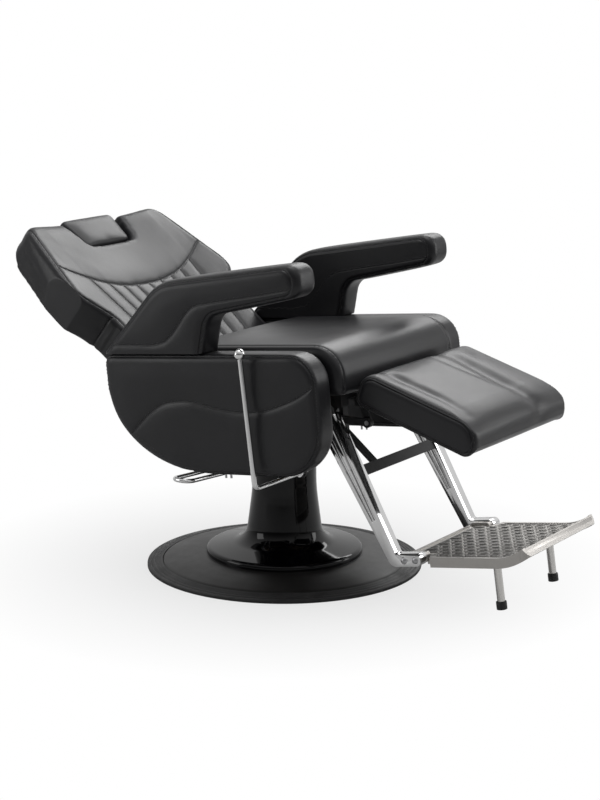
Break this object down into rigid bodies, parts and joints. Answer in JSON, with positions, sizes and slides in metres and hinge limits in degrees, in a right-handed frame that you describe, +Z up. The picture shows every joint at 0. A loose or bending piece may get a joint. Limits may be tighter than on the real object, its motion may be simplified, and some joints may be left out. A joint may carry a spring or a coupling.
{
  "type": "barber chair",
  "caption": "Reclining barber chair with padded seat, back, armrests and calf rest on a round hydraulic column base, for seating a client during a haircut or shave.",
  "frame": {"origin": "on the floor under the column axis", "axes": "+Z up, -Y the way the sitter faces, +X the sitter's left"},
  "size_m": [0.669, 1.3162, 0.7712],
  "materials": {
    "black_vinyl": "vinyl-coated fabric over foam, fine grain, soft sheen",
    "plywood": "unfinished",
    "black_rubber": "matte",
    "gloss_black": "gloss",
    "black_steel": "satin",
    "chrome": "polished",
    "cast_alloy": "cast, bright",
    "plain_steel": "zinc plated"
  },
  "bodies": {
    "base": {"base_plate": "black_steel", "base_edge_ring": "black_rubber", "column_skirt": "gloss_black", "pump_cylinder": "black_steel", "gland_nut": "black_steel"},
    "lift": {"piston_ram": "chrome", "thrust_washer": "plain_steel"},
    "seat": {"hub_socket": "black_steel", "hub_bolts": "plain_steel", "hub_cross_tubes": "black_steel", "front_cross_tube": "black_steel", "frame_rail_left": "black_steel", "frame_rail_right": "black_steel", "panel_spacers": "black_steel", "seat_board": "plywood", "seat_cushion": "black_vinyl", "side_panel_left": "black_vinyl", "side_panel_right": "black_vinyl", "panel_studs": "plain_steel", "armrest_left": "black_vinyl", "armrest_right": "black_vinyl", "armrest_studs": "plain_steel", "leg_arm_left": "chrome", "leg_arm_right": "chrome", "leg_bolts": "plain_steel", "leg_cross_bar": "black_steel", "leg_brace": "black_steel", "bracket_bolts": "chrome", "lock_cylinder": "black_steel", "lock_brackets": "black_steel", "calf_lugs": "black_steel", "calf_pins": "plain_steel", "lever_bracket": "black_steel", "pedal_bracket": "black_steel", "pedal_pin": "plain_steel"},
    "back": {"back_arm_left": "black_steel", "back_arm_right": "black_steel", "recline_shaft": "plain_steel", "back_cross_tube": "black_steel", "back_board": "plywood", "back_cushion": "black_vinyl", "back_shell": "black_vinyl", "headrest_sleeves": "black_steel", "crank_plates": "black_steel", "crank_pins": "plain_steel"},
    "headrest": {"headrest_pad": "black_vinyl", "headrest_posts": "chrome"},
    "calf": {"calf_pad": "black_vinyl", "calf_board": "plywood", "calf_arms": "black_steel", "calf_crank_pins": "plain_steel"},
    "links": {"drag_links": "black_steel"},
    "lock_bar": {"lock_rod": "chrome"},
    "footplate": {"foot_plate": "cast_alloy", "plate_legs": "chrome", "plate_feet": "black_rubber"},
    "lever": {"recline_lever": "chrome", "lever_knob": "chrome"},
    "pedal": {"pump_pedal": "chrome"}
  },
  "joints": [
    {"name": "column_lift", "type": "slide", "parent": "base", "child": "lift", "axis": [0, 0, 1], "range_m": [0, 0.15]},
    {"name": "seat_swivel", "type": "hinge", "parent": "lift", "child": "seat", "pos_m": [0, 0, 0.37], "axis": [0, 0, 1], "continuous": true},
    {"name": "back_recline", "type": "hinge", "parent": "seat", "child": "back", "pos_m": [0, 0.19795, 0.44263], "axis": [1, 0, 0], "range_deg": [0, 40]},
    {"name": "calf_swing", "type": "hinge", "parent": "seat", "child": "calf", "pos_m": [0, -0.27201, 0.43703], "axis": [1, 0, 0], "range_deg": [0, 40]},
    {"name": "link_swing", "type": "hinge", "parent": "back", "child": "links", "pos_m": [0, 0.18085, 0.39565], "axis": [1, 0, 0], "range_deg": [-40, 0]},
    {"name": "lock_travel", "type": "slide", "parent": "seat", "child": "lock_bar", "axis": [0, 1, 0], "range_m": [0, 0.05814]},
    {"name": "headrest_slide", "type": "slide", "parent": "back", "child": "headrest", "axis": [0, 0.7986, 0.6018], "range_m": [0, 0.1]},
    {"name": "footplate_fold", "type": "hinge", "parent": "seat", "child": "footplate", "pos_m": [0, -0.4288, 0.11845], "axis": [-1, 0, 0], "range_deg": [0, 20]},
    {"name": "lever_pull", "type": "hinge", "parent": "seat", "child": "lever", "pos_m": [-0.2, -0.15051, 0.26991], "axis": [-1, 0, 0], "range_deg": [0, 20], "stiffness_Nm_per_rad": 4, "springref_deg": -5.73},
    {"name": "pedal_press", "type": "hinge", "parent": "seat", "child": "pedal", "pos_m": [-0.084, 0.056, 0.352], "axis": [0, -1, 0], "range_deg": [0, 12], "stiffness_Nm_per_rad": 30, "springref_deg": -6.88}
  ],
  "couplings": [
    {"joint": "calf_swing", "follows": "back_recline", "ratio": 1},
    {"joint": "link_swing", "follows": "back_recline", "ratio": -1},
    {"joint": "lock_travel", "follows": "back_recline", "m_per_rad": 0.083284}
  ]
}
